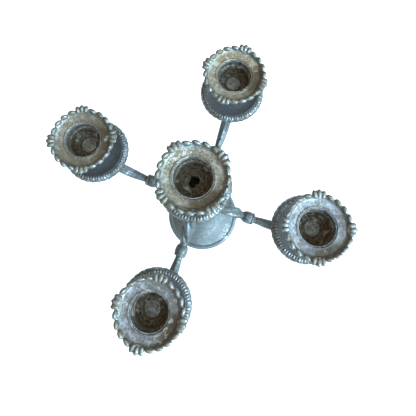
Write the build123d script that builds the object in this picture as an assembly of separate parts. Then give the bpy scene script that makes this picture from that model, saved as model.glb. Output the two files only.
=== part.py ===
"""Five-light tabletop candelabra of silver-plated brass, in millimetres.

A hollow spun foot, a turned stem and a hub are drawn together by one tie rod. Four
arms are let into the hub. The tie rod's head end and each arm carry a drip pan and
a candle cup, and in every cup stands a loose nozzle: a split sleeve with a
gadrooned flange round it.

Origin: the middle of the foot on the table. +Z is up, +X runs along the east arm.
"""

from build123d import *
from math import cos, radians, sin, tan
import os

# Plan of the object
FOOT_RADIUS = 49.5
ARM_REACH = 86.5
ARM_AZIMUTHS = {"east": 0, "north": 90, "west": 177, "south": 270}
FLANGE_TURNS = {"center": 51.0, "east": 14.6, "north": 86.8, "west": 23.1, "south": 91.3}

# Heights of the pieces on the tie rod, from the table up
FOOT_HEIGHT = 48.0
COLLAR_HEIGHT = 10.0
BALUSTER_HEIGHT = 82.0
RING_HEIGHT = 10.0
COLUMN_HEIGHT = 46.0
HUB_HEIGHT = 26.0
PILLAR_HEIGHT = 50.9

# Turned outlines, as radii
STEM_JOINT_RADIUS = 9.0
COLLAR_RADIUS = 14.0
BALUSTER_RADIUS = 13.5
RING_RADIUS = 12.0
HUB_RADIUS = 17.0
HUB_TOP_RADIUS = 14.6
PILLAR_RADIUS = 8.0
PILLAR_FOOT_RADIUS = 7.6

# Walls left round the rod's hole at the necks
BALUSTER_NECK_WALL = 2.3
COLUMN_NECK_WALL = 2.7
PILLAR_NECK_WALL = 1.5

# Foot
FOOT_WALL = 1.5
FOOT_CROWN = 3.0
RIM_WIDTH = 5.7
RIM_HEIGHT = 5.6
RIM_FLAT = 4.2
FOOT_EDGE_Z = 3.0
FOOT_NECK_RADIUS = 11.0

# Tie rod, its nut and washer
ROD_RADIUS = 3.0
ROD_CLEARANCE = 0.3
ROD_TAIL = 3.0
NUT_WALL = 3.0
NUT_HEIGHT = 5.0
WASHER_CLEARANCE = 1.3
WASHER_THICKNESS = 1.5

# Arms, in the upright plane of each arm
TUBE_RADIUS = 4.3
TENON_RADIUS = 3.2
TENON_START = 7.5
TENON_BELOW_TOP = 9.0
TENON_PAST_HUB = 1.9
ARM_DIP_RADIUS = 40.0
ARM_DIP = 10.0
ARM_BELLY = 12.0
ARM_LIFT = 9.5
ARM_ELBOW_BACK = 14.5
ARM_ELBOW_RISE = 9.0
ARM_SEAT_RISE = 47.9
LEAF_RADIUS = 5.4
LEAF_NECK = 3.8
LEAF_FROM = 11.0
LEAF_LENGTH = 32.0
KNOP_ALONG = 50.5
KNOP_RADIUS = 6.0
BOSS_RADIUS = 7.6
BOSS_HEIGHT = 11.0

# Arm screws
ARM_SCREW_RADIUS = 1.25
ARM_SCREW_PITCH_RADIUS = 11.0
ARM_SCREW_LENGTH = 12.0
ARM_SCREW_HEAD = 2.4
ARM_SCREW_HEAD_HEIGHT = 1.3
SLOT_WIDTH = 0.9
SLOT_DEPTH = 0.7

# Drip pan
PAN_RADIUS = 25.7
PAN_BORDER = 4.3
PAN_WALL = 1.4
PAN_SEAT_RADIUS = 9.5
PAN_DEPTH = 3.5
PAN_EDGE_DROP = 2.5

# Candle cup
CUP_HEIGHT = 28.65
CUP_MOUTH_WALL = 1.84
CUP_BULGE = 0.8
CUP_WAIST = 1.2
CUP_SHOULDER = 5.2
CUP_NECK = 5.6
CUP_FOOT_RADIUS = 8.8
CANDLE_BORE_RADIUS = 11.3
CANDLE_BORE_DEPTH = 6.0
CENTER_HOLE_MARGIN = 0.6
CENTER_THREAD_DEPTH = 9.0

# Cup rivets
CUP_RIVET_RADIUS = 2.0
CUP_RIVET_CLEARANCE = 0.2
CUP_RIVET_HEAD = 5.4
CUP_RIVET_HEAD_HEIGHT = 1.6
CUP_RIVET_DIMPLE = 0.9
CUP_RIVET_MARGIN = 1.6
CUP_RIVET_BELOW_CANDLE = 0.4
CUP_RIVET_TAIL = 8.0

# Nozzle: split sleeve and flange
SLEEVE_STEP = 1.0
SLEEVE_WALL = 0.6
SLEEVE_SINK = 4.0
SLEEVE_BELOW_LIP = 0.6
SLEEVE_SLIT = 0.9
TURNING_CLEARANCE = 0.06
RESTING_CLEARANCE = 0.15
FLANGE_BED = 1.9
FLANGE_FLAT_WIDTH = 5.84
FLANGE_RIM_WIDTH = 3.6
FLANGE_RISE = 3.4
BEADS_PER_QUARTER = 4
BEAD_RADIUS = 1.7
BEAD_PITCH_DEGREES = 16.5
SHELL_OVERHANG = 3.0
SHELL_HALF_WIDTH = 4.85
SHELL_THICKNESS = 2.4

# Worked out from the sizes above
COLLAR_Z = FOOT_HEIGHT
BALUSTER_Z = COLLAR_Z + COLLAR_HEIGHT
RING_Z = BALUSTER_Z + BALUSTER_HEIGHT
COLUMN_Z = RING_Z + RING_HEIGHT
HUB_Z = COLUMN_Z + COLUMN_HEIGHT
HUB_TOP = HUB_Z + HUB_HEIGHT
CENTER_SEAT_Z = HUB_TOP + PILLAR_HEIGHT
ARM_SEAT_Z = HUB_Z + ARM_SEAT_RISE
ROD_HOLE = ROD_RADIUS + ROD_CLEARANCE
SLEEVE_INNER_RADIUS = CANDLE_BORE_RADIUS + SLEEVE_STEP
SLEEVE_RADIUS = SLEEVE_INNER_RADIUS + SLEEVE_WALL
MOUTH_RADIUS = SLEEVE_RADIUS + TURNING_CLEARANCE
CUP_RIM_RADIUS = MOUTH_RADIUS + CUP_MOUTH_WALL
CUP_RADIUS = CUP_RIM_RADIUS + CUP_BULGE
FLANGE_FLAT_RADIUS = MOUTH_RADIUS + FLANGE_FLAT_WIDTH
FLANGE_RIM_RADIUS = FLANGE_FLAT_RADIUS + FLANGE_RIM_WIDTH
MOUTH_FLOOR = CUP_HEIGHT - SLEEVE_SINK
CANDLE_SEAT = MOUTH_FLOOR - CANDLE_BORE_DEPTH
DISH_DEPTH = CUP_RIVET_HEAD_HEIGHT + CUP_RIVET_BELOW_CANDLE
DISH_FLAT_RADIUS = CUP_RIVET_HEAD + CUP_RIVET_MARGIN
DISH_FLOOR = CANDLE_SEAT - DISH_DEPTH
LIP_HEIGHT = CUP_HEIGHT + RESTING_CLEARANCE + FLANGE_BED
FOOT_EDGE_RADIUS = FOOT_RADIUS - RIM_WIDTH


def turned(start, *runs):
    """Spin a closed outline of (radius, height) points about Z.

    Each run goes on from the last point: one point is a straight line, more are a
    smooth curve. The outline closes itself with a straight line.
    """
    edges = []
    here = start
    for run in runs:
        points = [here, *run]
        edges.append(Line(*points) if len(points) == 2 else Spline(*points))
        here = run[-1]
    edges.append(Line(here, start))
    return revolve(Plane.XZ * make_face(edges), Axis.Z)


def post(radius, bottom, top):
    """A plain round bar on the Z axis between two heights."""
    bar = Cylinder(radius, top - bottom, align=(Align.CENTER, Align.CENTER, Align.MIN))
    return Pos(0, 0, bottom) * bar


def lights():
    """Every light's name with the place of its pan seat."""
    places = {"center": Pos(0, 0, CENTER_SEAT_Z)}
    for name, azimuth in ARM_AZIMUTHS.items():
        angle = radians(azimuth)
        places[name] = Pos(ARM_REACH * cos(angle), ARM_REACH * sin(angle), ARM_SEAT_Z)
    return places


def foot():
    """Spun dome with an even wall, closed at the crown but for the rod hole."""
    outer = [(0.82, 0.09), (0.58, 0.24), (0.36, 0.50), (0.27, 0.78)]
    edge, rise = FOOT_EDGE_RADIUS, FOOT_HEIGHT - FOOT_EDGE_Z
    skin = [(edge * r, FOOT_EDGE_Z + FOOT_WALL + rise * z) for r, z in outer]
    lining = [(edge * r - FOOT_WALL, FOOT_EDGE_Z + rise * z) for r, z in outer]
    crown = FOOT_HEIGHT - FOOT_CROWN
    return turned(
        (edge, FOOT_EDGE_Z),
        [(edge, FOOT_EDGE_Z + FOOT_WALL)],
        [*skin, (FOOT_NECK_RADIUS, FOOT_HEIGHT)],
        [(ROD_HOLE, FOOT_HEIGHT)],
        [(ROD_HOLE, crown)],
        [(FOOT_NECK_RADIUS - FOOT_WALL, crown)],
        [*reversed(lining), (edge - FOOT_WALL, FOOT_EDGE_Z)],
    )


def foot_rim():
    """Half-round band soldered round the foot's edge. It is what stands on the table."""
    inner = FOOT_EDGE_RADIUS
    return turned(
        (inner, 0),
        [(inner + RIM_FLAT, 0)],
        [
            (FOOT_RADIUS, RIM_HEIGHT * 0.38),
            (FOOT_RADIUS - RIM_WIDTH * 0.30, RIM_HEIGHT * 0.86),
            (FOOT_RADIUS - RIM_WIDTH * 0.62, RIM_HEIGHT),
        ],
        [(inner, FOOT_EDGE_Z + FOOT_WALL)],
    )


def foot_washer():
    top = FOOT_HEIGHT - FOOT_CROWN
    radius = FOOT_NECK_RADIUS - FOOT_WALL - WASHER_CLEARANCE
    return post(radius, top - WASHER_THICKNESS, top) - post(ROD_HOLE, 0, top)


def nut_bottom():
    return FOOT_HEIGHT - FOOT_CROWN - WASHER_THICKNESS - NUT_HEIGHT


def foot_nut():
    """Hexagon nut, threaded on the rod."""
    hexagon = RegularPolygon(ROD_RADIUS + NUT_WALL, 6, major_radius=False)
    body = Pos(0, 0, nut_bottom()) * extrude(hexagon, NUT_HEIGHT)
    return body - post(ROD_RADIUS, 0, FOOT_HEIGHT)


def rod_top():
    return CENTER_SEAT_Z + PAN_WALL + CENTER_THREAD_DEPTH


def tie_rod():
    return chamfer(post(ROD_RADIUS, nut_bottom() - ROD_TAIL, rod_top()).edges(), 0.5)


def stem_collar():
    base, top = COLLAR_Z, BALUSTER_Z
    return turned(
        (ROD_HOLE, base),
        [(FOOT_NECK_RADIUS, base)],
        [
            (COLLAR_RADIUS, base + COLLAR_HEIGHT * 0.30),
            (COLLAR_RADIUS - 1.4, base + COLLAR_HEIGHT * 0.62),
            (STEM_JOINT_RADIUS, top),
        ],
        [(ROD_HOLE, top)],
    )


def stem_baluster():
    base, tall = BALUSTER_Z, BALUSTER_HEIGHT
    neck = ROD_HOLE + BALUSTER_NECK_WALL
    return turned(
        (ROD_HOLE, base),
        [(STEM_JOINT_RADIUS, base)],
        [
            (neck, base + tall * 0.12),
            (neck + 2.4, base + tall * 0.36),
            (BALUSTER_RADIUS, base + tall * 0.72),
            (BALUSTER_RADIUS - 1.5, base + tall * 0.88),
            (STEM_JOINT_RADIUS - 1.0, base + tall),
        ],
        [(ROD_HOLE, base + tall)],
    )


def stem_ring():
    base, tall = RING_Z, RING_HEIGHT
    return turned(
        (ROD_HOLE, base),
        [(STEM_JOINT_RADIUS - 1.0, base)],
        [
            (RING_RADIUS, base + tall * 0.40),
            (RING_RADIUS - 0.6, base + tall * 0.66),
            (STEM_JOINT_RADIUS - 1.6, base + tall),
        ],
        [(ROD_HOLE, base + tall)],
    )


def stem_column():
    base, tall = COLUMN_Z, COLUMN_HEIGHT
    neck = ROD_HOLE + COLUMN_NECK_WALL
    return turned(
        (ROD_HOLE, base),
        [(STEM_JOINT_RADIUS - 1.6, base)],
        [
            (neck, base + tall * 0.30),
            (neck + 0.5, base + tall * 0.70),
            (STEM_JOINT_RADIUS, base + tall),
        ],
        [(ROD_HOLE, base + tall)],
    )


def hub_blank():
    """The hub's outside, before the mortises are cut."""
    base, tall = HUB_Z, HUB_HEIGHT
    return turned(
        (0, base),
        [(STEM_JOINT_RADIUS, base)],
        [
            (HUB_RADIUS - 1.6, base + tall * 0.20),
            (HUB_RADIUS, base + tall * 0.45),
            (HUB_RADIUS - 0.8, base + tall * 0.75),
            (HUB_TOP_RADIUS, base + tall),
        ],
        [(0, base + tall)],
    )


def arm_corners():
    """The arm's bends in its own upright plane, as (radius, height)."""
    mortise = HUB_TOP - TENON_BELOW_TOP
    dip = HUB_Z - ARM_DIP
    elbow = ARM_REACH - ARM_ELBOW_BACK
    return [
        (TENON_START, mortise),
        (ARM_DIP_RADIUS, dip),
        ((ARM_DIP_RADIUS + elbow) / 2, HUB_Z - ARM_BELLY),
        (elbow, HUB_Z - ARM_LIFT),
        (ARM_REACH, HUB_Z + ARM_ELBOW_RISE),
        (ARM_REACH, ARM_SEAT_Z - BOSS_HEIGHT / 2),
    ]


def arm_path():
    """The bends joined by arcs as large as the straight runs beside them allow."""
    corners = [Vector(r, 0, z) for r, z in arm_corners()]
    radii = []
    for before, corner, after in zip(corners, corners[1:], corners[2:]):
        run_in, run_out = corner - before, after - corner
        turn = radians(run_in.get_angle(run_out))
        radii.append(0.45 * min(run_in.length, run_out.length) / tan(turn / 2))
    return FilletPolyline(*corners, radius=radii)


def along_arm(path, length):
    """A plane across the arm, with its normal running outwards."""
    share = length / path.length
    return Plane(path @ share, x_dir=(0, 1, 0), z_dir=path % share)


def tenon(path):
    """Round tenon at the arm's inner end. It fills its mortise and runs on past the hub."""
    length = (HUB_RADIUS + TENON_PAST_HUB - TENON_START) / (path % 0).X
    bar = Cylinder(TENON_RADIUS, length, align=(Align.CENTER, Align.CENTER, Align.MIN))
    return along_arm(path, 0) * bar


def arm_boss():
    """Turned seat on top of the arm, drilled for the cup's rivet."""
    top, base = ARM_SEAT_Z, ARM_SEAT_Z - BOSS_HEIGHT
    seat = turned(
        (0, base),
        [(TUBE_RADIUS + 0.5, base)],
        [
            (TUBE_RADIUS + 0.9, base + BOSS_HEIGHT * 0.40),
            (BOSS_RADIUS, base + BOSS_HEIGHT * 0.80),
            (BOSS_RADIUS - 0.5, top),
        ],
        [(0, top)],
    )
    return Pos(ARM_REACH, 0, 0) * seat


def arm_screw_places():
    """Where the arm screws stand in the hub's top, one over each tenon."""
    for azimuth in ARM_AZIMUTHS.values():
        yield Rot(0, 0, azimuth) * Pos(ARM_SCREW_PITCH_RADIUS, 0, HUB_TOP)


def screw(shank, length, head, head_height):
    """Slotted round-head screw, its seat at height 0 and its shank below."""
    cap = turned(
        (0, 0),
        [(head, 0)],
        [(head * 0.93, head_height * 0.55), (head * 0.6, head_height * 0.92), (0, head_height)],
    )
    slot = Box(2 * head, SLOT_WIDTH, 2 * SLOT_DEPTH)
    return cap + post(shank, -length, 0) - Pos(0, 0, head_height) * slot


def arm_screws():
    one = screw(ARM_SCREW_RADIUS, ARM_SCREW_LENGTH, ARM_SCREW_HEAD, ARM_SCREW_HEAD_HEIGHT)
    return [place * one for place in arm_screw_places()]


def arm(azimuth, blank, path):
    """One arm: coped to the hub, leaf, knop, reeded branch and boss."""
    section = along_arm(path, 0) * Circle(TUBE_RADIUS)
    body = sweep(section, path)
    leaf = Cone(LEAF_RADIUS, LEAF_NECK, LEAF_LENGTH, align=(Align.CENTER, Align.CENTER, Align.MIN))
    knop = Sphere(KNOP_RADIUS)
    body = body + along_arm(path, LEAF_FROM) * leaf + along_arm(path, KNOP_ALONG) * knop
    body = body + arm_boss() - blank + tenon(path)
    body = body - Pos(ARM_SCREW_PITCH_RADIUS, 0, 0) * post(
        ARM_SCREW_RADIUS, HUB_TOP - ARM_SCREW_LENGTH, HUB_TOP
    )
    rivet_hole = post(CUP_RIVET_RADIUS, ARM_SEAT_Z - CUP_RIVET_TAIL, ARM_SEAT_Z)
    body = body - Pos(ARM_REACH, 0, 0) * rivet_hole
    return Rot(0, 0, azimuth) * body


def branch_hub(blank, path):
    """Hub with a mortise for each arm, the rod hole and the arm screws' holes."""
    body = blank - post(ROD_HOLE, HUB_Z, HUB_TOP)
    for azimuth in ARM_AZIMUTHS.values():
        body = body - Rot(0, 0, azimuth) * tenon(path)
    for place in arm_screw_places():
        body = body - place * post(ARM_SCREW_RADIUS, -ARM_SCREW_LENGTH, 0)
    return body


def center_pillar():
    base, tall = HUB_TOP, PILLAR_HEIGHT
    neck = ROD_HOLE + PILLAR_NECK_WALL
    return turned(
        (ROD_HOLE, base),
        [(PILLAR_FOOT_RADIUS, base)],
        [
            (neck, base + tall * 0.20),
            (PILLAR_RADIUS, base + tall * 0.55),
            (neck, base + tall * 0.84),
            (BOSS_RADIUS, base + tall),
        ],
        [(ROD_HOLE, base + tall)],
    )


def drip_pan(hole_radius):
    """Dished pan with a rounded border that falls outwards. Height 0 is its underside."""
    seat = PAN_WALL
    crest_radius = PAN_RADIUS - PAN_BORDER
    crest, edge = seat + PAN_DEPTH, seat + PAN_DEPTH - PAN_EDGE_DROP
    half = (PAN_SEAT_RADIUS + crest_radius) / 2
    return turned(
        (hole_radius, 0),
        [(PAN_SEAT_RADIUS, 0)],
        [(half, 0.18 * PAN_DEPTH), (crest_radius - 1.0, crest - PAN_WALL - 1.4)],
        [(crest_radius + 1.4, crest - PAN_WALL - 0.6), (PAN_RADIUS - 0.5, edge - 0.9)],
        [(PAN_RADIUS, edge)],
        [
            (PAN_RADIUS - PAN_BORDER * 0.25, edge + PAN_EDGE_DROP * 0.72),
            (crest_radius + PAN_BORDER * 0.35, crest + 0.2),
            (crest_radius, crest),
        ],
        [(half, seat + 0.25 * PAN_DEPTH), (PAN_SEAT_RADIUS, seat)],
        [(hole_radius, seat)],
    )


def candle_cup(bottom_holes):
    """Urn-shaped cup: wide mouth for the sleeve, candle bore and dished floor."""
    tall = CUP_HEIGHT
    urn = turned(
        (0, 0),
        [(CUP_FOOT_RADIUS, 0)],
        [
            (CUP_FOOT_RADIUS - 0.6, tall * 0.06),
            (CUP_NECK, tall * 0.20),
            (CUP_RADIUS - CUP_SHOULDER, tall * 0.36),
        ],
        [
            (CUP_RADIUS, tall * 0.62),
            (CUP_RADIUS - CUP_WAIST, tall * 0.84),
            (CUP_RIM_RADIUS, tall),
        ],
        [(0, tall)],
    )
    mouth = post(MOUTH_RADIUS, MOUTH_FLOOR, tall)
    bore = post(CANDLE_BORE_RADIUS, CANDLE_SEAT, tall)
    dish = Cone(DISH_FLAT_RADIUS, CANDLE_BORE_RADIUS, DISH_DEPTH)
    dish = Pos(0, 0, CANDLE_SEAT - DISH_DEPTH / 2) * dish
    return urn - mouth - bore - dish - bottom_holes


def arm_cup():
    return candle_cup(post(CUP_RIVET_RADIUS + CUP_RIVET_CLEARANCE, 0, DISH_FLOOR))


def center_cup():
    """The middle cup is screwed on the rod, under an open hole in its floor."""
    thread_top = rod_top() - CENTER_SEAT_Z - PAN_WALL
    open_hole = post(ROD_RADIUS + CENTER_HOLE_MARGIN, thread_top, DISH_FLOOR)
    return candle_cup(post(ROD_RADIUS, 0, thread_top) + open_hole)


def cup_rivets(places):
    """Round-headed rivets through cup and pan into each arm, dimpled in the middle."""
    head, tall, dimple = CUP_RIVET_HEAD, CUP_RIVET_HEAD_HEIGHT, CUP_RIVET_DIMPLE
    tail = DISH_FLOOR + PAN_WALL + CUP_RIVET_TAIL
    rivet = turned(
        (0, -tail),
        [(CUP_RIVET_RADIUS, -tail)],
        [(CUP_RIVET_RADIUS, 0)],
        [(head, 0)],
        [(head * 0.93, tall * 0.55), (head * 0.6, tall * 0.92), (dimple, tall)],
        [(0, tall - dimple / 2)],
    )
    floor = Pos(0, 0, PAN_WALL + DISH_FLOOR)
    return [place * floor * rivet for name, place in places.items() if name != "center"]


def nozzle_sleeve():
    """Split tube that drops into the cup's mouth. Height 0 is the pan's underside."""
    base = PAN_WALL + MOUTH_FLOOR + RESTING_CLEARANCE / 2
    top = PAN_WALL + LIP_HEIGHT - SLEEVE_BELOW_LIP
    tube = post(SLEEVE_RADIUS, base, top) - post(SLEEVE_INNER_RADIUS, base, top)
    slit = Pos(SLEEVE_RADIUS, 0, (base + top) / 2) * Box(3, SLEEVE_SLIT, top - base)
    return tube - slit


def nozzle_flange():
    """Dished flange with beads and four shells on its rim. Height 0 is its lip."""
    hole = SLEEVE_RADIUS + TURNING_CLEARANCE
    rim, flat = FLANGE_RIM_RADIUS, FLANGE_FLAT_RADIUS
    dish = turned(
        (hole, -FLANGE_BED),
        [(flat, -FLANGE_BED)],
        [(rim - 1.6, -0.35 * FLANGE_BED), (rim - 0.4, 1.0)],
        [(rim, 2.4), (rim - 0.6, FLANGE_RISE)],
        [(rim - 1.4, FLANGE_RISE)],
        [(flat + 1.3, 0.9), (flat, -0.1)],
        [(hole + 1.2, -0.1)],
        [(hole + 0.5, 0.0), (hole + 0.1, -0.3), (hole, -0.7)],
    )
    bead = Pos(rim - 1.2, 0, 2.2) * Sphere(BEAD_RADIUS)
    petal = Cylinder(SHELL_HALF_WIDTH, SHELL_THICKNESS)
    petal = Pos(rim + SHELL_OVERHANG - SHELL_HALF_WIDTH, 0, FLANGE_RISE - 0.6) * petal
    petal = petal - Cylinder(rim - 2.0, 20)
    middle = (BEADS_PER_QUARTER - 1) / 2
    for quarter in range(4):
        dish = dish + Rot(0, 0, 90 * quarter) * petal
        for step in range(BEADS_PER_QUARTER):
            angle = 90 * quarter + 45 + (step - middle) * BEAD_PITCH_DEGREES
            dish = dish + Rot(0, 0, angle) * bead
    return dish


def light_pieces(name, place):
    """The pan, cup, sleeve and flange of one light, at their place."""
    at_center = name == "center"
    hole = ROD_HOLE if at_center else CUP_RIVET_RADIUS + CUP_RIVET_CLEARANCE
    cup = center_cup() if at_center else arm_cup()
    turn = Rot(0, 0, FLANGE_TURNS[name])
    lip = Pos(0, 0, PAN_WALL + LIP_HEIGHT)
    return {
        f"drip_pan_{name}": place * drip_pan(hole),
        f"candle_cup_{name}": place * Pos(0, 0, PAN_WALL) * cup,
        f"nozzle_sleeve_{name}": place * turn * nozzle_sleeve(),
        f"nozzle_flange_{name}": place * turn * lip * FLANGE,
    }


def all_pieces():
    """Every node's name with its solids."""
    blank, path = hub_blank(), arm_path()
    pieces = {
        "foot": foot(),
        "foot_rim": foot_rim(),
        "foot_washer": foot_washer(),
        "foot_nut": foot_nut(),
        "tie_rod": tie_rod(),
        "stem_collar": stem_collar(),
        "stem_baluster": stem_baluster(),
        "stem_ring": stem_ring(),
        "stem_column": stem_column(),
        "branch_hub": branch_hub(blank, path),
        "arm_screws": arm_screws(),
        "center_pillar": center_pillar(),
    }
    for name, azimuth in ARM_AZIMUTHS.items():
        pieces[f"arm_{name}"] = arm(azimuth, blank, path)
    places = lights()
    pieces["cup_rivets"] = cup_rivets(places)
    for name, place in places.items():
        pieces.update(light_pieces(name, place))
    return pieces


FLANGE = nozzle_flange()

os.makedirs("parts", exist_ok=True)
for node, shape in all_pieces().items():
    solids = shape if isinstance(shape, list) else [shape]
    export_step(Compound(children=solids), f"parts/{node}.step")
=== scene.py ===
"""Looks of the five-light silver-plated candelabra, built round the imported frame.

Lengths are in millimetres, and each finished mesh is brought to metres. The turned
pieces start from an outline of (radius, height) points that is spun about +Z.
"""

from math import asin, atan2, cos, exp, hypot, pi, radians, sin, tan, tau

import bmesh
import bpy
from mathutils import Matrix, Vector, noise


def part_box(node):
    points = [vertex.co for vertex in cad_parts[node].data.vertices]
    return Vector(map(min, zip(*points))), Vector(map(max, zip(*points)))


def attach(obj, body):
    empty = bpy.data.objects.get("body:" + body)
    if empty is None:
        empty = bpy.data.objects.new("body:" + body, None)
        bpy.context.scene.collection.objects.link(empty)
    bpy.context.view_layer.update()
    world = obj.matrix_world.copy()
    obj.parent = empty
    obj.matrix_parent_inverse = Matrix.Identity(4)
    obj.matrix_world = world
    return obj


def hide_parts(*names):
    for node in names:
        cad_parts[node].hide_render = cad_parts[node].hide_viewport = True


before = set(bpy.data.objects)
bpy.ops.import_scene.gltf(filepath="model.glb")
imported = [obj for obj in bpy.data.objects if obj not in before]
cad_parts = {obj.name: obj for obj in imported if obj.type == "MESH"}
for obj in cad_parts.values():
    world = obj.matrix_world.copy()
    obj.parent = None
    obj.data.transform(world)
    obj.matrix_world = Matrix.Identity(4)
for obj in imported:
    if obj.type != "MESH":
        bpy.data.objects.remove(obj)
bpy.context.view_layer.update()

MM = 0.001

# The object's own values, as the frame's pieces have them
ARM_AZIMUTHS = {"east": 0, "north": 90, "west": 177, "south": 270}
FLANGE_TURNS = {"center": 51.0, "east": 14.6, "north": 86.8, "west": 23.1, "south": 91.3}
LIGHTS = ["center", *ARM_AZIMUTHS]
PAN_WALL = 1.4
CUP_HEIGHT = 28.65
CUP_FLOOR_DEPTH = 12.0
MOUTH_RADIUS = 12.96
FLANGE_DROP = 1.9
RESTING_GAP = 0.15
LIP_HEIGHT = CUP_HEIGHT + RESTING_GAP + FLANGE_DROP
ROD_HOLE = 3.3
FOOT_RADIUS = 43.8

CREASE = radians(38)
TARNISH_METAL = 0.55
# Bright colour of worn edges, lightened further as a painted highlight
RUBBED_AND_HIGHLIGHT_METAL = (0.86, 0.90, 0.89)
# Brown of a stained patch, which also paints shade on one side of a flange or cup bottom
STAIN_AND_SHADE_BROWN = (0.115, 0.077, 0.036)


def level(node, top=True):
    """Height of a frame piece's top or bottom."""
    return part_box(node)[1 if top else 0].z / MM


def middle(node):
    """The point on the ground below a frame piece's middle."""
    low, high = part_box(node)
    return (low.x + high.x) / 2 / MM, (low.y + high.y) / 2 / MM


HUB_Z = level("branch_hub", top=False)
ARM_SEAT_Z = level("arm_east")
ARM_REACH = middle("drip_pan_east")[0]


# ---------------------------------------------------------------- making shapes


def curve_through(points, steps):
    """Points along a smooth curve through the given ones, without the first."""
    ends = [2 * points[0] - points[1], *points, 2 * points[-1] - points[-2]]
    for a, b, c, d in zip(ends, ends[1:], ends[2:], ends[3:]):
        for step in range(1, steps + 1):
            t = step / steps
            bend = (2 * a - 5 * b + 4 * c - d) * t**2 + (3 * b - a - 3 * c + d) * t**3
            yield (2 * b + (c - a) * t + bend) / 2


def outline(start, *runs, steps=6):
    """(radius, height) points. A run of one point is straight, a longer one is smooth."""
    points = [Vector(start)]
    for run in runs:
        through = [points[-1], *map(Vector, run)]
        points += through[1:] if len(run) == 1 else curve_through(through, steps)
    return points


def spun(points, steps, sweep=tau):
    """A closed outline spun about +Z. A part turn gets flat ends.

    One sector of eight steps is spun, and turned copies of it fill the sweep.
    """
    bm = bmesh.new()
    verts = [bm.verts.new((r, 0, z)) for r, z in points]
    edges = [bm.edges.new(pair) for pair in zip(verts, verts[1:] + verts[:1])]
    sector = 8 * sweep / steps
    bmesh.ops.spin(
        bm, geom=verts + edges, cent=(0, 0, 0), axis=(0, 0, 1), angle=sector, steps=8,
        use_merge=False,
    )
    turned = bpy.data.meshes.new("sector")
    bm.to_mesh(turned)
    for _ in range(steps // 8 - 1):
        turned.transform(Matrix.Rotation(sector, 4, "Z"))
        bm.from_mesh(turned)
    bmesh.ops.remove_doubles(bm, verts=bm.verts, dist=1e-3)
    if sweep < tau:
        bmesh.ops.holes_fill(bm, edges=[e for e in bm.edges if e.is_boundary], sides=0)
    bpy.data.meshes.remove(turned)
    return bm


def joined(*parts):
    """One bmesh that holds several, which it uses up."""
    whole = bmesh.new()
    for part in parts:
        held = bpy.data.meshes.new("part")
        part.to_mesh(held)
        part.free()
        whole.from_mesh(held)
        bpy.data.meshes.remove(held)
    return whole


def lobed(bm, count, depth, low, high, twist=0.0, keep=0.62):
    """Rounded lobes with narrow grooves between them, fading out at both heights."""
    for vert in bm.verts:
        x, y, z = vert.co
        if low < z < high and hypot(x, y) > 0.1:
            fade = sin(pi * (z - low) / (high - low)) ** 0.6
            wave = abs(cos(count * (atan2(y, x) - radians(twist) * (z - low)) / 2))
            grow = 1 + depth * fade * (wave - keep) / hypot(x, y)
            vert.co = x * grow, y * grow, z


def ball(place, size, turn=0.0):
    """An egg of the given half lengths, turned about its own upright axis."""
    matrix = place @ Matrix.Rotation(radians(turn), 4, "Z") @ Matrix.Diagonal((*size, 1))
    bm = bmesh.new()
    bmesh.ops.create_uvsphere(bm, u_segments=24, v_segments=12, radius=1, matrix=matrix)
    return bm


def polar(angle, radius, height):
    """A place at an angle and radius, facing outwards."""
    return Matrix.Rotation(radians(angle), 4, "Z") @ Matrix.Translation((radius, 0, height))


def fused(bm, voxel, smooth=2):
    """The shapes in a bmesh melted into one skin, as a casting is."""
    bmesh.ops.recalc_face_normals(bm, faces=bm.faces)
    rough = bpy.data.meshes.new("rough")
    bm.to_mesh(rough)
    bm.free()
    holder = bpy.data.objects.new("rough", rough)
    bpy.context.scene.collection.objects.link(holder)
    melt = holder.modifiers.new("melt", "REMESH")
    melt.mode, melt.voxel_size = "VOXEL", voxel
    ready = holder.evaluated_get(bpy.context.evaluated_depsgraph_get())
    skin = bmesh.new()
    skin.from_mesh(ready.to_mesh())
    bpy.data.objects.remove(holder)
    for _ in range(smooth):
        bmesh.ops.smooth_vert(
            skin, verts=skin.verts, factor=0.5, use_axis_x=True, use_axis_y=True, use_axis_z=True
        )
    return skin


def piece(bm, name, body, material, nodes=None, trim=None):
    """Puts a bmesh in the scene in metres, riding on its body in place of its frame piece.

    Faces with the material index 1 wear the trim.
    """
    bmesh.ops.remove_doubles(bm, verts=bm.verts, dist=1e-4)
    bmesh.ops.recalc_face_normals(bm, faces=bm.faces)
    bmesh.ops.scale(bm, vec=(MM, MM, MM), verts=bm.verts)
    mesh = bpy.data.meshes.new(name)
    bm.to_mesh(mesh)
    bm.free()
    mesh.shade_smooth()
    mesh.set_sharp_from_angle(angle=CREASE)
    mesh.materials.append(material)
    if trim:
        mesh.materials.append(trim)
    made = bpy.data.objects.new(name, mesh)
    bpy.context.scene.collection.objects.link(made)
    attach(made, body)
    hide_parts(*(nodes or [name]))


def moved(bm, matrix):
    """A moved copy of a bmesh, so that one master serves several pieces."""
    copy = bm.copy()
    bmesh.ops.transform(copy, matrix=matrix, verts=copy.verts)
    return copy


# ---------------------------------------------------------------- node groups


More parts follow.
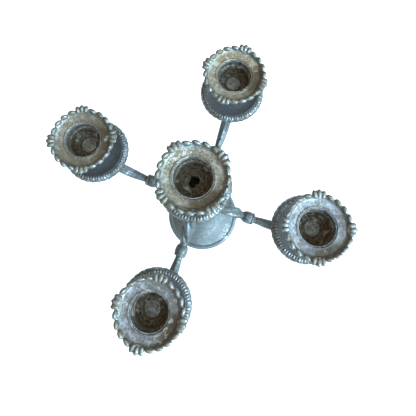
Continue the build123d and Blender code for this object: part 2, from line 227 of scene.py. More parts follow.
class Nodes:
    """Adds shader nodes to a tree with their inputs set or linked by name."""

    def __init__(self, tree):
        self.tree = tree

    def add(self, kind, inputs=None, **settings):
        node = self.tree.nodes.new("ShaderNode" + kind)
        for key, value in settings.items():
            setattr(node, key, value)
        for key, value in (inputs or {}).items():
            if isinstance(value, bpy.types.NodeSocket):
                self.tree.links.new(value, node.inputs[key])
            else:
                node.inputs[key].default_value = value
        return node

    def math(self, operation, a, b=0.0, clamp=False):
        return self.add("Math", {0: a, 1: b}, operation=operation, use_clamp=clamp).outputs[0]

    def spread(self, value, low, high):
        """0 at one end of a range and 1 at the other, smoothly between."""
        inputs = {0: value, 1: low, 2: high}
        return self.add("MapRange", inputs, interpolation_type="SMOOTHSTEP").outputs[0]

    def mix(self, factor, a, b):
        node = self.add("Mix", data_type="RGBA")
        for key, value in ((0, factor), (6, a), (7, b)):
            if isinstance(value, bpy.types.NodeSocket):
                self.tree.links.new(value, node.inputs[key])
            else:
                node.inputs[key].default_value = value
        return node.outputs[2]

    def noise(self, where, scale, detail, roughness=0.55, distortion=0.0):
        inputs = {
            "Vector": where, "Scale": scale, "Detail": detail, "Roughness": roughness,
            "Distortion": distortion,
        }
        return self.add("TexNoise", inputs).outputs["Fac"]


def group(name, inputs, outputs):
    """An empty node group with named inputs (name, kind, default) and outputs (name, kind)."""
    tree = bpy.data.node_groups.new(name, "ShaderNodeTree")
    for label, kind, default in inputs:
        socket = tree.interface.new_socket(label, in_out="INPUT", socket_type="NodeSocket" + kind)
        if default is not None:
            socket.default_value = default
    for label, kind in outputs:
        tree.interface.new_socket(label, in_out="OUTPUT", socket_type="NodeSocket" + kind)
    nodes = Nodes(tree)
    start = tree.nodes.new("NodeGroupInput").outputs
    finish = tree.nodes.new("NodeGroupOutput").inputs
    return tree, nodes, start, finish


def tarnish_group():
    """Clouded tarnish: large blotches broken by small mottling."""
    tree, nodes, given, out = group(
        "tarnish",
        [("Where", "Vector", None), ("Cloud", "Float", 90.0), ("Spread", "Float", 0.5)],
        [("Blotch", "Float"), ("Speckle", "Float")],
    )
    cloud = nodes.noise(given["Where"], given["Cloud"], 5.0, 0.6, 0.8)
    mottle = nodes.noise(given["Where"], 520.0, 6.0, 0.65)
    mottling = nodes.math("MULTIPLY", mottle, 0.3)
    both = nodes.math("ADD", nodes.math("MULTIPLY", cloud, 0.7), mottling)
    edge = nodes.math("SUBTRACT", 1.0, given["Spread"])
    blotch = nodes.spread(both, nodes.math("SUBTRACT", edge, 0.14), nodes.math("ADD", edge, 0.14))
    tree.links.new(blotch, out["Blotch"])
    grains = nodes.noise(given["Where"], 1500.0, 3.0, 0.6)
    tree.links.new(nodes.spread(nodes.math("ADD", mottle, grains), 0.92, 1.08), out["Speckle"])
    return tree


def wear_and_painted_light_group():
    """Hollows for grime and painted shade, edges worn bright with a painted highlight, from the
    shape.
    """
    tree, nodes, given, out = group(
        "wear_and_painted_light",
        [("Where", "Vector", None), ("Hollow", "Float", 0.47), ("Edge", "Float", 0.54)],
        [("Hollows", "Float"), ("Edges", "Float")],
    )
    shape = nodes.add("NewGeometry").outputs["Pointiness"]
    grit = nodes.noise(given["Where"], 900.0, 3.0, 0.6)
    jitter = nodes.math("MULTIPLY", nodes.math("SUBTRACT", grit, 0.5), 0.03)
    rough = nodes.math("ADD", shape, jitter)
    deep = nodes.math("SUBTRACT", given["Hollow"], 0.05)
    # Hollows get grime and painted shade; edges are worn and also get a painted highlight
    tree.links.new(nodes.spread(rough, given["Hollow"], deep), out["Hollows"])
    high = nodes.math("ADD", given["Edge"], 0.05)
    tree.links.new(nodes.spread(rough, given["Edge"], high), out["Edges"])
    return tree


def wax_group():
    """Thin old wax: islands with a height, where there is enough of it."""
    tree, nodes, given, out = group(
        "wax",
        [("Where", "Vector", None), ("Amount", "Float", 0.3)],
        [("Film", "Float"), ("Thick", "Float")],
    )
    body = nodes.noise(given["Where"], 150.0, 3.0, 0.5, 1.2)
    fine = nodes.noise(given["Where"], 1100.0, 3.0, 0.6)
    both = nodes.math("ADD", body, nodes.math("MULTIPLY", nodes.math("SUBTRACT", fine, 0.5), 0.16))
    line = nodes.math("SUBTRACT", 0.78, nodes.math("MULTIPLY", given["Amount"], 0.4))
    film = nodes.spread(both, line, nodes.math("ADD", line, 0.035))
    thick = nodes.spread(both, line, nodes.math("ADD", line, 0.14))
    tree.links.new(film, out["Film"])
    tree.links.new(thick, out["Thick"])
    return tree


def grain_group():
    """Fine scratches from rubbing, and pits, as one height."""
    tree, nodes, given, out = group(
        "grain", [("Where", "Vector", None), ("Pits", "Float", 0.5)], [("Height", "Float")]
    )
    stretch = nodes.add("Mapping", {"Vector": given["Where"], "Rotation": (0.3, 0.5, 0.9),
                                    "Scale": (1.0, 0.06, 0.5)}).outputs[0]
    scratch = nodes.noise(stretch, 3200.0, 2.0, 0.5)
    pit = nodes.spread(nodes.noise(given["Where"], 1500.0, 4.0, 0.7), 0.34, 0.5)
    weighted = nodes.math("MULTIPLY", pit, given["Pits"])
    height = nodes.math("ADD", nodes.math("MULTIPLY", scratch, 0.35), weighted)
    tree.links.new(height, out["Height"])
    return tree


TARNISH, WEAR_AND_PAINTED_LIGHT, WAX, GRAIN = tarnish_group(), wear_and_painted_light_group(), wax_group(), grain_group()


def plate(name, silver, tarnish, dirt_and_shade, rough=0.3, spread=0.5, wax=0.0, pits=0.4, cloud=90.0,
          shift=(0, 0, 0), hollow=0.48, bump=0.06, tarnish_rough=0.3, stain_and_shade_at=None,
          stain_and_shade_reach=1.0, wax_color=(0.60, 0.57, 0.46), rub_and_highlight=0.25, edge=0.54):
    """Silver plate: bare metal, clouded tarnish, grime and painted shade in hollows, old wax over
    all.

    rough and tarnish_rough are the roughness of bare metal and what tarnish adds. spread
    is how much of the piece is tarnished, rub_and_highlight how bright its worn edges are with
    a painted highlight, and hollow and edge say how sharp a crevice or an edge has to be. A
    brown stained patch lies round one point, with a wandering border, and paints shade there.
    """
    material = bpy.data.materials.new(name)
    material.use_nodes = True
    tree = material.node_tree
    shader = tree.nodes["Principled BSDF"]
    nodes = Nodes(tree)
    at = nodes.add("TexCoord").outputs["Object"]
    where = nodes.add("Mapping", {"Vector": at, "Location": shift}).outputs[0]

    def placed(tree_group, **values):
        node = nodes.add("Group", node_tree=tree_group)
        tree.links.new(where, node.inputs["Where"])
        for key, value in values.items():
            node.inputs[key].default_value = value
        return node.outputs

    clouds = placed(TARNISH, Cloud=cloud, Spread=spread)
    wear_and_painted_light = placed(WEAR_AND_PAINTED_LIGHT, Hollow=hollow, Edge=edge)
    coat = placed(WAX, Amount=wax)
    height = placed(GRAIN, Pits=pits)["Height"]
    film = nodes.math("SUBTRACT", coat["Film"], wear_and_painted_light["Edges"], clamp=True)
    dull = nodes.math("MULTIPLY", clouds["Speckle"], 0.5)
    dull = nodes.math("ADD", dull, nodes.math("MULTIPLY", clouds["Blotch"], 0.75), clamp=True)
    dull = nodes.math("SUBTRACT", dull, nodes.math("MULTIPLY", wear_and_painted_light["Edges"], 0.7), clamp=True)
    color = nodes.mix(dull, (*silver, 1), (*tarnish, 1))
    # Worn edges lightened, partly as a painted highlight
    color = nodes.mix(nodes.math("MULTIPLY", wear_and_painted_light["Edges"], rub_and_highlight), color, (*RUBBED_AND_HIGHLIGHT_METAL, 1))
    # Brown stained patch round one point, which also paints shade on that side
    if stain_and_shade_at:
        away = nodes.add("VectorMath", {0: at, 1: stain_and_shade_at}, operation="DISTANCE").outputs["Value"]
        wander = nodes.math("MULTIPLY", nodes.noise(where, 260.0, 5.0), 0.022)
        border = 0.026 * stain_and_shade_reach
        stain_and_shade = nodes.spread(nodes.math("ADD", away, wander), border, border - 0.012)
        stain_and_shade = nodes.math("MULTIPLY", stain_and_shade, 0.8)
        color = nodes.mix(stain_and_shade, color, (*STAIN_AND_SHADE_BROWN, 1))
        dull = nodes.math("MAXIMUM", dull, stain_and_shade)
    # Grime and painted shade darken the hollows
    color = nodes.mix(nodes.math("MULTIPLY", wear_and_painted_light["Hollows"], 0.9), color, (*dirt_and_shade, 1))
    color = nodes.mix(nodes.math("MULTIPLY", film, 0.75), color, (*wax_color, 1))
    tree.links.new(color, shader.inputs["Base Color"])
    metal = nodes.math("SUBTRACT", 1.0, nodes.math("MULTIPLY", dull, 1.0 - TARNISH_METAL))
    metal = nodes.math("SUBTRACT", metal, nodes.math("MULTIPLY", wear_and_painted_light["Hollows"], 0.5), clamp=True)
    metal = nodes.math("SUBTRACT", metal, nodes.math("MULTIPLY", film, 0.9), clamp=True)
    tree.links.new(metal, shader.inputs["Metallic"])
    gloss = nodes.math("ADD", rough, nodes.math("MULTIPLY", dull, tarnish_rough))
    gloss = nodes.math("ADD", gloss, nodes.math("MULTIPLY", wear_and_painted_light["Hollows"], 0.25))
    gloss = nodes.math("SUBTRACT", gloss, nodes.math("MULTIPLY", wear_and_painted_light["Edges"], 0.12), clamp=True)
    tree.links.new(gloss, shader.inputs["Roughness"])
    raised = nodes.math("ADD", height, nodes.math("MULTIPLY", coat["Thick"], 3.0))
    lift = nodes.add("Bump", {"Height": raised, "Strength": 1.0, "Distance": bump * MM})
    tree.links.new(lift.outputs[0], shader.inputs["Normal"])
    return material


# ---------------------------------------------------------------- finishes

# Dark brown of grime, which also paints shade into hollows and crevices
DIRT_AND_SHADE = (0.022, 0.017, 0.011)


def stain_and_shade_spot(node, angle, away, down):
    """A point at an angle and radius round a piece's middle, below its top, for a stained patch
    with painted shade.
    """
    x, y = middle(node)
    reach = polar(angle, away, level(node) - down).translation
    return tuple((reach + Vector((x, y, 0))) * MM)


branch_plate = plate("branch_plate", (0.30, 0.35, 0.38), (0.15, 0.15, 0.125), DIRT_AND_SHADE, 0.33, 0.5,
                     pits=0.1, rub_and_highlight=0.1)
foot_plate = plate("foot_plate", (0.38, 0.41, 0.41), (0.20, 0.22, 0.215), DIRT_AND_SHADE, 0.34, 0.5,
                   cloud=50.0, pits=0.2)
rim_plate = plate("rim_plate", (0.30, 0.33, 0.34), (0.17, 0.19, 0.195), DIRT_AND_SHADE, 0.34, 0.45)
stem_plate = plate("stem_plate", (0.50, 0.54, 0.56), (0.25, 0.26, 0.25), DIRT_AND_SHADE, 0.27, 0.48,
                   cloud=60.0, pits=0.25)
pan_plate = plate("pan_plate", (0.54, 0.58, 0.64), (0.25, 0.245, 0.255), DIRT_AND_SHADE, 0.26, 0.80,
                  hollow=0.2, edge=0.95, pits=0.2, tarnish_rough=0.14)
border_plate = plate("border_plate", (0.41, 0.45, 0.48), (0.15, 0.14, 0.105), DIRT_AND_SHADE, 0.24, 0.5,
                     hollow=0.495, pits=0.2)
# Beads: grime and painted shade in the gaps between them, a painted highlight on their worn tops
bead_plate = plate("bead_plate", (0.40, 0.46, 0.49), (0.24, 0.21, 0.145),
                   (0.05, 0.033, 0.015), 0.19, 0.52, hollow=0.495, edge=0.52, rub_and_highlight=0.7)
sleeve_plate = plate("sleeve_plate", (0.55, 0.60, 0.62), (0.14, 0.12, 0.08), DIRT_AND_SHADE, 0.27, 0.45,
                     cloud=160.0, pits=0.7, bump=0.1)
rivet_steel = plate("rivet_steel", (0.38, 0.37, 0.33), (0.15, 0.12, 0.08), DIRT_AND_SHADE, 0.30, 0.5,
                    wax=0.34, wax_color=(0.30, 0.27, 0.20), pits=0.8, bump=0.16,
                    hollow=0.495)
hidden_steel = plate("hidden_steel", (0.03, 0.026, 0.02), (0.02, 0.015, 0.01), DIRT_AND_SHADE, 0.8, 0.5,
                     rub_and_highlight=0.0)
screw_steel = plate("screw_steel", (0.30, 0.31, 0.30), (0.16, 0.15, 0.12), DIRT_AND_SHADE, 0.38, 0.5,
                    rub_and_highlight=0.0, hollow=0.2, edge=0.95)


def cup_finish(name, angle, away, shift):
    """Waxed and browned plate of one cup, browner on one side of its bottom, stained and with
    painted shadow.
    """
    # Near-black hollows: grime, and painted shade in the grooves and round the rivet
    return plate(f"cup_plate_{name}", (0.57, 0.54, 0.48), (0.105, 0.074, 0.040),
                 (0.010, 0.007, 0.004), 0.24, 0.54, wax=0.42, hollow=0.495, pits=1.0,
                 bump=0.24, shift=shift, cloud=170.0,
                 wax_color=(0.47, 0.41, 0.32), stain_and_shade_reach=1.4,
                 stain_and_shade_at=stain_and_shade_spot(f"candle_cup_{name}", angle, away, 11.0))


CUP_FINISHES = {
    "center": cup_finish("center", -50, 6, (0.0, 0.0, 0.0)),
    "north": cup_finish("north", -20, 9, (0.0, 0.3, 0.0)),
    "east": cup_finish("east", -55, 13, (0.2, 0.0, 0.0)),
    "west": cup_finish("west", -80, 9, (0.0, 0.0, 0.5)),
    "south": cup_finish("south", -100, 12, (0.4, 0.1, 0.0)),
}


def flange_finish(name, silver, tarnish, rough, spread, wax, pits, shift, angle, away=19):
    """Waxed plate of one flange, brown on one side, stained and with painted shade."""
    spot = stain_and_shade_spot(f"nozzle_flange_{name}", angle, away, 2)
    return plate(f"flange_plate_{name}", silver, tarnish, DIRT_AND_SHADE, rough, spread, wax=wax,
                 pits=pits, shift=shift, bump=0.10, stain_and_shade_at=spot, stain_and_shade_reach=1.15)


FLANGE_FINISHES = {
    "center": flange_finish("center", (0.54, 0.55, 0.50), (0.25, 0.21, 0.135), 0.31, 0.50, 0.46,
                            0.9, (0.1, 0.0, 0.0), -45),
    "north": flange_finish("north", (0.62, 0.63, 0.59), (0.32, 0.25, 0.14), 0.31, 0.55, 0.42,
                           1.0, (0.0, 0.2, 0.0), 0, 22),
    "east": flange_finish("east", (0.52, 0.57, 0.61), (0.24, 0.23, 0.22), 0.29, 0.50, 0.44,
                          0.7, (0.3, 0.0, 0.1), -55, 22),
    "west": flange_finish("west", (0.52, 0.52, 0.49), (0.24, 0.20, 0.13), 0.31, 0.55, 0.38,
                          0.9, (0.0, 0.0, 0.4), 20, 20),
    "south": flange_finish("south", (0.47, 0.50, 0.54), (0.21, 0.185, 0.165), 0.30, 0.52, 0.48,
                           0.9, (0.2, 0.5, 0.0), -15, 21),
}


# ---------------------------------------------------------------- nozzles


def trimmed(bm, inner):
    """Gives the faces beyond a radius the material index 1."""
    for face in bm.faces:
        at = face.calc_center_median()
        face.material_index = int(hypot(at.x, at.y) > inner)
    return bm


def flange_casting():
    """Dished flange with slanting beads and four ribbed shells. Height 0 is its lip."""
    dish = spun(
        outline(
            (MOUTH_RADIUS, -FLANGE_DROP),
            [(18.4, -FLANGE_DROP)],
            [(20.3, -1.1), (21.4, 0.6)],
            [(21.9, 1.4), (21.8, 2.2)],
            [(20.9, 2.5)],
            [(20.1, 1.6), (18.6, 0.25)],
            [(18.3, 0.16), (14.3, -0.45)],
            [(14.0, 0.0), (13.4, 0.1), (MOUTH_RADIUS, -0.7)],
        ),
        160,
    )
    parts = [dish]
    for quarter in range(4):
        for step in range(4):
            angle = 90 * quarter + 45 + (step - 1.5) * 16.5
            parts.append(ball(polar(angle, 21.45, 2.0), (2.95, 1.65, 1.85), turn=76))
        shell = 90 * quarter
        parts.append(ball(polar(shell, 21.6, 2.0), (3.1, 4.7, 1.35)))
        for rib in (-1, 0, 1):
            place = polar(shell, 22.45 - 0.75 * abs(rib), 2.75 - 0.15 * abs(rib))
            place = place @ Matrix.Translation((0, 3.0 * rib, 0))
            parts.append(ball(place, (2.85, 1.72, 1.55), turn=14 * rib))
    return trimmed(fused(joined(*parts), 0.28, smooth=1), 19.3)


def sleeve_tube():
    """Split tube in the cup's mouth. Height 0 is the pan's underside."""
    base, top = PAN_WALL + CUP_HEIGHT - 3.92, PAN_WALL + LIP_HEIGHT - 0.6
    inner, outer, slit = 12.3, 12.9, 0.9
    half = asin(slit / 2 / inner)
    bm = spun(
        outline(
            (inner, base),
            [(outer, base)],
            [(outer, top - 0.25)],
            [(outer - 0.1, top - 0.03), (inner + 0.1, top - 0.03), (inner, top - 0.25)],
            steps=3,
        ),
        120,
        tau - 2 * half,
    )
    bmesh.ops.rotate(bm, verts=bm.verts, matrix=Matrix.Rotation(half, 3, "Z"))
    return bm


def cup_urn(hole, ragged):
    """Urn-shaped candle cup: stepped foot, lobed bowl, candle bore and wider mouth."""
    tall, bore = CUP_HEIGHT, 11.3
    step, bottom = tall - 4.0, tall - CUP_FLOOR_DEPTH
    grooves = []
    for down in (1.6, 2.9, 4.1):
        middle_z = step - down
        grooves += [[(bore, middle_z + 0.3)], [(bore + 0.75, middle_z)], [(bore, middle_z - 0.3)]]
    bm = spun(
        outline(
            (hole, 0),
            [(8.8, 0)],
            [(8.8, 0.9)],
            [(8.2, 1.5), (6.4, 3.0), (5.5, 4.6)],
            [(6.5, 5.1), (6.7, 5.7), (6.2, 6.3)],
            [(5.9, 6.6)],
            [(9.2, 9.2), (13.4, 13.2), (15.5, 17.4)],
            [(15.6, 18.2), (15.1, 18.8)],
            [(14.4, 21.2), (14.3, 24.4)],
            [(14.9, 25.4), (15.2, 26.6), (14.8, tall)],
            [(MOUTH_RADIUS, tall)],
            [(MOUTH_RADIUS, step)],
            [(bore + 0.3, step)],
            [(bore, step - 0.3)],
            *grooves,
            [(bore, bottom + 2.2)],
            [(bore - 0.6, bottom + 1.3), (bore - 2.2, bottom + 0.45), (bore - 4.2, bottom)],
            [(6.0, bottom - 0.05), (hole + 1.2, bottom - 0.1)],
            [(hole, bottom - 0.5)],
        ),
        160,
    )
    lobed(bm, 20, 0.9, 7.2, 18.4)
    for vert in bm.verts:
        x, y, z = vert.co
        radius = hypot(x, y)
        if radius < bore + 0.1 and z > 8:
            lumps = noise.noise(vert.co * 0.42) + 0.3 * noise.noise(vert.co * 0.9)
            shrink = 1 - 0.35 * max(0.0, lumps) / radius
            ripple = 0.14 * sin(3.4 * radius) if radius > 5.5 else 0.0
            rise = 0.8 * lumps + ripple if z < bottom + 1 else 0.0
            vert.co = x * shrink, y * shrink, z + rise
        if ragged and radius < hole + 1.5 and z > 8:
            angle = atan2(y, x)
            grow = 1 + 0.16 * sin(2 * angle - 0.9) + 0.10 * sin(3 * angle + 0.6)
            grow += 0.07 * sin(5 * angle + 2.1)
            vert.co = x * grow, y * grow, vert.co.z
    return bm


# ---------------------------------------------------------------- drip pans


def pan_dish(hole):
    """Dished pan. Its border is a ring of tongues, each with strokes cut round its ridge."""
    tongues, across = 34, 16
    crest_radius, edge_radius = 21.4, 25.7
    bm = spun(
        outline(
            (hole, 0),
            [(9.5, 0)],
            [(15.0, 0.6), (20.2, 2.2)],
            [(22.6, 2.9), (25.1, 1.5)],
            [(25.7, 1.75), (25.65, 2.3)],
            [(24.7, 3.9), (22.9, 5.0), (21.7, 5.0)],
            [(21.3, 4.7), (21.0, 4.75), (20.7, 4.5)],
            [(18.6, 3.2), (14.6, 1.9), (9.5, PAN_WALL)],
            [(hole, PAN_WALL)],
            steps=6,
        ),
        tongues * across,
    )
    for vert in bm.verts:
        x, y, z = vert.co
        radius = hypot(x, y)
        out = (radius - crest_radius) / (edge_radius - crest_radius)
        if out > 0.02 and z > 1.4:
            phase = tongues * atan2(y, x) / tau
            side = abs(phase - round(phase)) * 2
            tip = max(0.0, (out - 0.5) / 0.5)
            reach = hypot(side, tip)
            gap = exp(-(((min(reach, 1.0) - 1) / 0.2) ** 2))
            stroke = exp(-((reach / 0.2) ** 2))
            shrink = 1 - (0.4 * tip**2 * side**3) / radius
            drop = (1.0 if z > 2.0 else 0.3) * min(1.0, out * 6) * (0.5 * gap + 0.34 * stroke)
            vert.co = x * shrink, y * shrink, z - drop
    return trimmed(bm, 20.9)


# ---------------------------------------------------------------- arms


class ArmPath:
    """The arm's middle line in its upright plane: straight runs joined by arcs."""

    def __init__(self, corners):
        points = [Vector(c) for c in corners]
        self.parts = []
        here = points[0]
        for before, corner, after in zip(points, points[1:], points[2:]):
            run_in, run_out = corner - before, after - corner
            turn = run_in.angle_signed(run_out)
            tangent = 0.45 * min(run_in.length, run_out.length)
            start = corner - run_in.normalized() * tangent
            self.parts.append((here, run_in.normalized(), (start - here).length, 0.0))
            length = tangent / tan(abs(turn) / 2) * abs(turn)
            self.parts.append((start, run_in.normalized(), length, -turn / length))
            here = corner + run_out.normalized() * tangent
        self.parts.append((here, run_out.normalized(), (points[-1] - here).length, 0.0))
        self.length = sum(part[2] for part in self.parts)

    def at(self, distance):
        """Point and direction at a distance along the arm."""
        for start, way, length, bend in self.parts:
            if distance <= length:
                break
            distance -= length
        if not bend:
            return start + way * distance, way
        angle = bend * distance
        side = Vector((-way.y, way.x))
        point = start + way * sin(angle) / bend + side * (1 - cos(angle)) / bend
        return point, way * cos(angle) + side * sin(angle)


def arm_casting():
    """One arm along +X: twisted leaf, knop and fluted branch, and its turned seat."""
    elbow = ARM_REACH - 14.5
    path = ArmPath([
        (7.5, HUB_Z + 17.0), (40.0, HUB_Z - 10.0), ((40.0 + elbow) / 2, HUB_Z - 11.8),
        (elbow, HUB_Z - 9.4), (ARM_REACH, HUB_Z + 9.0), (ARM_REACH, ARM_SEAT_Z - 5.5),
    ])
    leaf, knop, end = 12.0, 50.5, path.length
    straight = outline(
        (0, leaf - 3),
        [(4.6, leaf - 3)],
        [(5.2, leaf + 2), (5.3, leaf + 10), (5.2, leaf + 20), (5.0, leaf + 27), (4.3, knop - 10)],
        [(3.5, knop - 7.2)],
        [(3.4, knop - 6.0)],
        [(4.6, knop - 4.4), (5.5, knop - 2.4), (5.75, knop), (5.6, knop + 2.2)],
        [(5.0, knop + 3.0)],
        [(5.5, knop + 3.7), (5.5, knop + 4.7), (4.8, knop + 5.3)],
        [(3.2, knop + 6.2)],
        [(3.4, knop + 9), (3.9, knop + 15), (4.35, knop + 23), (4.35, knop + 40), (4.1, end - 12)],
        [(4.1, end)],
        [(0, end)],
        steps=10,
    )
    fine = [straight[0]]
    for point in straight[1:]:
        pieces = max(1, round((point - fine[-1]).length / 0.9))
        fine += [fine[-1].lerp(point, (n + 1) / pieces) for n in range(pieces)]
    bm = spun(fine, 72)
    lobed(bm, 4, 1.7, leaf - 4, knop - 7, twist=5.0)
    lobed(bm, 7, 1.1, knop + 5.5, end + 40, keep=0.68)
    for vert in bm.verts:
        x, y, along = vert.co
        point, way = path.at(max(0.0, along))
        vert.co = point.x - way.y * x, y, point.y + way.x * x
    top, reach = ARM_SEAT_Z, Matrix.Translation((ARM_REACH, 0, 0))
    seat = spun(
        outline(
            (0, top - 12.5),
            [(4.6, top - 12.5)],
            [(5.7, top - 11.9), (5.9, top - 11.2), (5.5, top - 10.5)],
            [(4.8, top - 10.0)],
            [(4.8, top - 7.4), (5.7, top - 4.6), (7.2, top - 2.6)],
            [(7.7, top - 1.6), (7.5, top - 0.6)],
            [(7.1, top - 0.1)],
            [(0, top - 0.1)],
        ),
        72,
    )
    lobed(seat, 12, 0.8, top - 10, top - 1.5)
    bmesh.ops.transform(seat, matrix=reach, verts=seat.verts)
    return fused(joined(bm, seat), 0.35)


# ---------------------------------------------------------------- column pieces


def rivets():
    """Round rivet heads, faced in rings, at the bottom of the four arm cups."""
    head, top = 5.4, 1.6
    shape = [(0, -0.4), (head, -0.4), (head, 0.5), (head * 0.95, top * 0.6)]
    for ring in range(1, 5):
        radius, rise = head * (0.97 - 0.17 * ring), top * (0.62 + 0.07 * ring)
        shape += [(radius + 0.22, rise), (radius, rise - 0.16), (radius - 0.2, rise + 0.05)]
    shape = outline(*shape[:1], *[[point] for point in shape[1:]], [(0.8, top)], [(0, top * 0.6)])
    one = spun(shape, 64)
    heads = []
    for name in ARM_AZIMUTHS:
        x, y = middle(f"candle_cup_{name}")
        bottom = level(f"candle_cup_{name}", top=False) + CUP_HEIGHT - CUP_FLOOR_DEPTH
        heads.append(moved(one, Matrix.Translation((x, y, bottom))))
    one.free()
    return joined(*heads)


def foot_dome(base):
    """Spun dome with an even wall. Height 0 is the table."""
    crown = base + 45
    return spun(
        outline(
            (FOOT_RADIUS, base),
            [(FOOT_RADIUS, base + 1.5)],
            [(35.9, 8.55), (25.4, 15.3), (15.8, 27.0), (11.8, 39.6), (11.0, crown)],
            [(3.3, crown)],
            [(3.3, crown - 3)],
            [(9.5, crown - 3)],
            [(10.3, 38.1), (14.3, 25.5), (23.9, 13.8), (34.4, 7.05), (42.3, base)],
            steps=10,
        ),
        144,
    )


def rim_band():
    """Half-round band round the foot's edge, with a bead and a fillet inside it."""
    return spun(
        outline(
            (FOOT_RADIUS, 0),
            [(48.0, 0)],
            [(49.2, 0.8), (49.5, 2.1), (49.0, 3.7), (47.6, 5.1), (46.0, 5.5)],
            [(45.5, 5.1)],
            [(45.1, 5.25), (44.6, 5.1), (FOOT_RADIUS, 4.5)],
        ),
        160,
    )


def collar(base, height):
    return spun(
        outline(
            (ROD_HOLE, base),
            [(11.0, base)],
            [(11.6, base + 0.6), (11.3, base + 1.3)],
            [(13.2, base + 2.1), (14.0, base + 3.4), (13.2, base + 4.8)],
            [(11.0, base + 5.4)],
            [(10.4, base + 7.2), (9.6, base + 8.6)],
            [(9.9, base + 9.2), (9.0, base + height)],
            [(ROD_HOLE, base + height)],
        ),
        112,
    )


def baluster(base, height):
    top = base + height
    bm = spun(
        outline(
            (ROD_HOLE, base),
            [(9.0, base)],
            [(8.0, base + 2.2), (6.2, base + 6.0), (5.6, base + 10.0)],
            [(6.8, base + 10.8), (7.0, base + 12.0), (6.2, base + 13.0)],
            [(5.7, base + 13.6)],
            [(6.6, base + 22), (8.6, base + 33), (11.4, base + 46), (13.3, base + 56),
             (13.5, base + 62), (12.4, base + 67.5)],
            [(12.7, base + 68.3), (12.2, base + 69.4)],
            [(10.6, base + 72.5), (8.4, base + 75.5)],
            [(8.9, base + 76.6), (8.6, base + 78.0)],
            [(7.9, base + 79.4), (8.0, top)],
            [(ROD_HOLE, top)],
            steps=10,
        ),
        144,
    )
    lobed(bm, 16, 0.9, base + 14, base + 68)
    return bm


def ring(base, height):
    bm = spun(
        outline(
            (ROD_HOLE, base),
            [(8.0, base)],
            [(9.8, base + 1.2), (11.7, base + 3.2), (12.0, base + 5.0), (11.0, base + 7.4),
             (8.8, base + 9.2)],
            [(7.4, base + height)],
            [(ROD_HOLE, base + height)],
            steps=8,
        ),
        144,
    )
    lobed(bm, 18, 0.9, base + 0.8, base + 9.4)
    return bm


def column(base, height):
    top = base + height
    bm = spun(
        outline(
            (ROD_HOLE, base),
            [(7.4, base)],
            [(7.8, base + 1.0), (7.2, base + 2.2)],
            [(6.3, base + 6), (6.0, base + 14), (6.3, base + 26), (6.8, base + 36)],
            [(7.9, base + 37.0), (8.1, base + 38.2), (7.4, base + 39.2)],
            [(7.0, base + 40.2)],
            [(7.4, base + 43.0), (9.0, top)],
            [(ROD_HOLE, top)],
            steps=10,
        ),
        144,
    )
    lobed(bm, 12, 0.7, base + 3, base + 36)
    return bm


def hub(base, height):
    top = base + height
    bm = spun(
        outline(
            (ROD_HOLE, base),
            [(9.0, base)],
            [(10.2, base + 0.6), (10.0, base + 1.6)],
            [(13.6, base + 4.0), (16.2, base + 8.0), (17.0, base + 12.4), (16.4, base + 18.0)],
            [(16.9, base + 18.9), (16.6, base + 20.2)],
            [(15.4, base + 21.6), (14.9, base + 23.4)],
            [(15.2, base + 24.4), (14.6, top)],
            [(13.9, top)],
            [(8.4, top)],
            [(ROD_HOLE, top)],
            steps=8,
        ),
        144,
    )
    lobed(bm, 24, 0.7, base + 2, base + 18.2)
    return bm


def pillar(base, height):
    top = base + height
    bm = spun(
        outline(
            (ROD_HOLE, base),
            [(7.6, base)],
            [(7.7, base + 1.2), (6.8, base + 2.4)],
            [(5.4, base + 6.0), (4.9, base + 10.0)],
            [(5.9, base + 10.8), (6.0, base + 12.0), (5.2, base + 12.8)],
            [(6.2, base + 18.0), (7.8, base + 26.0), (7.9, base + 30.5), (6.4, base + 36.0)],
            [(6.9, base + 36.8), (6.5, base + 37.9)],
            [(5.0, base + 40.5), (4.9, base + 43.0)],
            [(5.6, base + 46.0), (7.2, base + 48.6)],
            [(7.8, base + 49.4), (7.6, top)],
            [(ROD_HOLE, top)],
            steps=8,
        ),
        144,
    )
    lobed(bm, 12, 0.7, base + 13, base + 36)
    return bm


def build_stand():
    """Everything that stands still."""
    tall = {"stem_collar": collar, "stem_baluster": baluster, "stem_ring": ring,
            "stem_column": column, "branch_hub": hub, "center_pillar": pillar}
    for node, shape in tall.items():
        base, top = level(node, top=False), level(node)
        finish = branch_plate if node == "branch_hub" else stem_plate
        piece(shape(base, top - base), f"{node}_turned", "stand", finish, [node])
    dome = foot_dome(level("foot", top=False))
    piece(dome, "foot_dome", "stand", foot_plate, ["foot"])
    piece(rim_band(), "foot_rim_band", "stand", rim_plate, ["foot_rim"])
    casting = arm_casting()
    for name, azimuth in ARM_AZIMUTHS.items():
        turn = Matrix.Rotation(radians(azimuth), 4, "Z")
        piece(moved(casting, turn), f"arm_{name}_cast", "stand", branch_plate,
              [f"arm_{name}"])
    casting.free()
    piece(rivets(), "cup_rivet_heads", "stand", rivet_steel, ["cup_rivets"])
    for node in ("foot_washer", "foot_nut", "tie_rod", "arm_screws"):
        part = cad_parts[node]
        part.data.materials.clear()
        part.data.materials.append(screw_steel if node == "arm_screws" else hidden_steel)


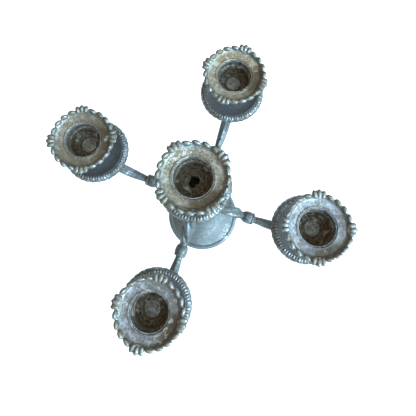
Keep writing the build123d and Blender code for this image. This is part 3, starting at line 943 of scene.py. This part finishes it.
def build_lights():
    """Pan, cup, sleeve and flange of each of the five lights."""
    casting, tube = flange_casting(), sleeve_tube()
    arm_pan, center_pan = pan_dish(2.2), pan_dish(3.3)
    for name in LIGHTS:
        x, y = middle(f"drip_pan_{name}")
        base = level(f"drip_pan_{name}", top=False)
        place = Matrix.Translation((x, y, base))
        turn = place @ Matrix.Rotation(radians(FLANGE_TURNS[name]), 4, "Z")
        center = name == "center"
        pan = center_pan if center else arm_pan
        piece(moved(pan, place), f"drip_pan_{name}_dish", "stand", pan_plate,
              [f"drip_pan_{name}"], trim=border_plate)
        cup = cup_urn(3.6 if center else 2.2, ragged=center)
        raise_cup = place @ Matrix.Translation((0, 0, PAN_WALL))
        piece(moved(cup, raise_cup), f"candle_cup_{name}_urn", "stand",
              CUP_FINISHES[name], [f"candle_cup_{name}"])
        cup.free()
        piece(moved(tube, turn), f"nozzle_sleeve_{name}_tube", f"sleeve_{name}",
              sleeve_plate, [f"nozzle_sleeve_{name}"])
        lip = turn @ Matrix.Translation((0, 0, PAN_WALL + LIP_HEIGHT))
        piece(moved(casting, lip), f"nozzle_flange_{name}_cast", f"flange_{name}",
              FLANGE_FINISHES[name], [f"nozzle_flange_{name}"],
              trim=bead_plate)
    for master in (casting, tube, arm_pan, center_pan):
        master.free()


# ---------------------------------------------------------------- floor, light, camera


def floor():
    """Plain pale ground under the foot."""
    bm = bmesh.new()
    bmesh.ops.create_grid(bm, x_segments=1, y_segments=1, size=6.0)
    mesh = bpy.data.meshes.new("floor")
    bm.to_mesh(mesh)
    bm.free()
    ground = bpy.data.objects.new("floor", mesh)
    bpy.context.scene.collection.objects.link(ground)
    paint = bpy.data.materials.new("floor_paint")
    paint.use_nodes = True
    tree = paint.node_tree
    shader = tree.nodes["Principled BSDF"]
    shader.inputs["Base Color"].default_value = (0.8, 0.8, 0.8, 1)
    shader.inputs["Roughness"].default_value = 0.9
    nodes = Nodes(tree)
    glow = nodes.add("Emission", {"Color": (1, 1, 1, 1), "Strength": 0.72})
    seen = nodes.add("LightPath").outputs["Is Camera Ray"]
    dark = nodes.add("Emission", {"Strength": 0.0})
    lit = nodes.add("MixShader", {0: seen, 1: dark.outputs[0], 2: glow.outputs[0]})
    both = nodes.add("AddShader", {0: shader.outputs[0], 1: lit.outputs[0]})
    tree.links.new(both.outputs[0], tree.nodes["Material Output"].inputs["Surface"])
    mesh.materials.append(paint)


def room():
    """A soft room: cool window on one side, dim warm wall on the other, pale to the eye."""
    world = bpy.data.worlds.new("room")
    bpy.context.scene.world = world
    world.use_nodes = True
    tree = world.node_tree
    nodes = Nodes(tree)
    way = nodes.add("TexCoord").outputs["Generated"]
    azimuth = radians(-14)
    window = Vector((cos(azimuth), sin(azimuth), 0.35)).normalized()
    facing = nodes.add("VectorMath", {0: way, 1: window}, operation="DOT_PRODUCT").outputs["Value"]
    ramp = nodes.add("ValToRGB", {"Fac": nodes.spread(facing, -1.0, 1.0)})
    ramp.color_ramp.interpolation = "EASE"
    stops = [
        (0.0, (0.045, 0.032, 0.018)),
        (0.38, (0.15, 0.112, 0.066)),
        (0.62, (0.37, 0.335, 0.285)),
        (0.84, (0.52, 0.73, 0.90)),
        (1.0, (1.45, 2.2, 2.85)),
    ]
    while len(ramp.color_ramp.elements) < len(stops):
        ramp.color_ramp.elements.new(0.5)
    for element, (where, color) in zip(ramp.color_ramp.elements, stops):
        element.position = where
        element.color = (*color, 1)
    seen = nodes.add("LightPath").outputs["Is Camera Ray"]
    color = nodes.mix(seen, ramp.outputs[0], (0.84, 0.84, 0.84, 1))
    tree.links.new(color, tree.nodes["Background"].inputs["Color"])
    tree.nodes["Background"].inputs["Strength"].default_value = 1.2


def softbox(name, at, size, watts, color):
    """A square lamp that looks at the lights' middle."""
    lamp = bpy.data.lights.new(name, "AREA")
    lamp.shape, lamp.size, lamp.energy, lamp.color = "SQUARE", size, watts, color
    holder = bpy.data.objects.new(name, lamp)
    bpy.context.scene.collection.objects.link(holder)
    holder.location = at
    aim = Vector((0, 0, 0.2)) - holder.location
    holder.rotation_euler = aim.to_track_quat("-Z", "Y").to_euler()


def camera():
    """Hand-held view from above, a little tilted and rolled."""
    lens = bpy.data.cameras.new("camera")
    lens.lens, lens.sensor_width = 29.42, 36
    lens.shift_x, lens.shift_y = 0.010, -0.1074
    lens.clip_start, lens.clip_end = 0.01, 20
    holder = bpy.data.objects.new("camera", lens)
    bpy.context.scene.collection.objects.link(holder)
    at, target = Vector((21.24, -31.76, 506.67)) * MM, Vector((0.62, 16.47, 276.0)) * MM
    roll = Matrix.Rotation(radians(-3.96), 4, "Z")
    look = (target - at).to_track_quat("-Z", "Y").to_matrix().to_4x4()
    holder.matrix_world = Matrix.Translation(at) @ look @ roll
    bpy.context.scene.camera = holder


build_stand()
build_lights()
floor()
room()
softbox("window", (1.2, -0.45, 0.85), 0.5, 11, (0.74, 0.89, 0.97))
softbox("ceiling", (-0.3, 0.2, 1.9), 1.2, 5.2, (1.0, 0.92, 0.79))
camera()

bpy.context.scene.view_settings.view_transform = "Standard"
